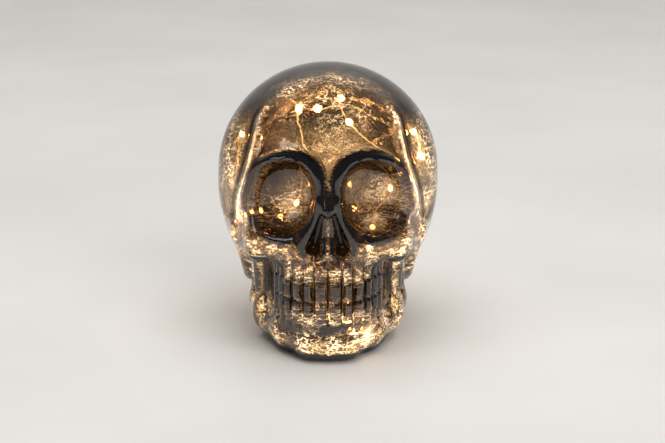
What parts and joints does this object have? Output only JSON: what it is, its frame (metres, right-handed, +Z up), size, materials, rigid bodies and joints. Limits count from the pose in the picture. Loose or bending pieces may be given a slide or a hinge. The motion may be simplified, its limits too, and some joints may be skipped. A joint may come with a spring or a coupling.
{
  "type": "halloween skull decoration",
  "caption": "Hollow smoked glass skull lit from inside by a string of drop lights on copper wire, with a battery unit, hinged door and slide switch in its open base.",
  "frame": {"origin": "centre of the bounding box at the flat ring that the skull stands on", "axes": "+Z up to the crown, -Y to the face, +X to the left side of the skull, which is on the right in the picture"},
  "size_m": [0.1214, 0.1418, 0.147],
  "materials": {
    "lustre_glass": "smoked, with a thin mirror lustre",
    "silicone_seal": "clear silicone",
    "black_plastic": "fine moulded texture",
    "zinc_steel": "zinc plated",
    "cell_sleeve": "printed sleeve, left plain",
    "nickel_contact": "nickel plated",
    "board_laminate": "solder mask",
    "chip_plastic": "moulded",
    "black_insulation": "satin",
    "red_insulation": "satin",
    "switch_case": "tinned",
    "black_rubber": "matt",
    "copper_wire": "lacquered copper",
    "warm_resin": "clear resin drop, glowing warm white when lit"
  },
  "bodies": {
    "skull": {"glass_skull": "lustre_glass", "bond_ring": "silicone_seal", "battery_housing": "black_plastic", "housing_cover": "black_plastic", "cover_screw_1": "zinc_steel", "cover_screw_2": "zinc_steel", "cover_screw_3": "zinc_steel", "cell_1": "cell_sleeve", "cell_2": "cell_sleeve", "cell_3": "cell_sleeve", "contact_spring_1": "nickel_contact", "contact_spring_2": "nickel_contact", "contact_spring_3": "nickel_contact", "contact_plate_negative": "nickel_contact", "contact_plate_bridge_1": "nickel_contact", "contact_plate_bridge_2": "nickel_contact", "contact_plate_positive": "nickel_contact", "timer_board": "board_laminate", "timer_chip": "chip_plastic", "battery_lead_black": "black_insulation", "battery_lead_red": "red_insulation", "switch_body": "switch_case", "wire_grommet": "black_rubber", "light_wire": "copper_wire", "led_bead_01": "warm_resin", "led_bead_02": "warm_resin", "led_bead_03": "warm_resin", "led_bead_04": "warm_resin", "led_bead_05": "warm_resin", "led_bead_06": "warm_resin", "led_bead_07": "warm_resin", "led_bead_08": "warm_resin", "led_bead_09": "warm_resin", "led_bead_10": "warm_resin", "led_bead_11": "warm_resin", "led_bead_12": "warm_resin", "led_bead_13": "warm_resin", "led_bead_14": "warm_resin", "led_bead_15": "warm_resin"},
    "door": {"battery_door": "black_plastic"},
    "switch": {"switch_slider": "black_plastic"}
  },
  "joints": [
    {"name": "battery_door_hinge", "type": "hinge", "parent": "skull", "child": "door", "pos_m": [0, 0.01132, 0.0017], "axis": [1, 0, 0], "range_deg": [0, 75]},
    {"name": "switch_slide", "type": "slide", "parent": "skull", "child": "switch", "axis": [0, -1, 0], "range_m": [0, 0.004]}
  ]
}
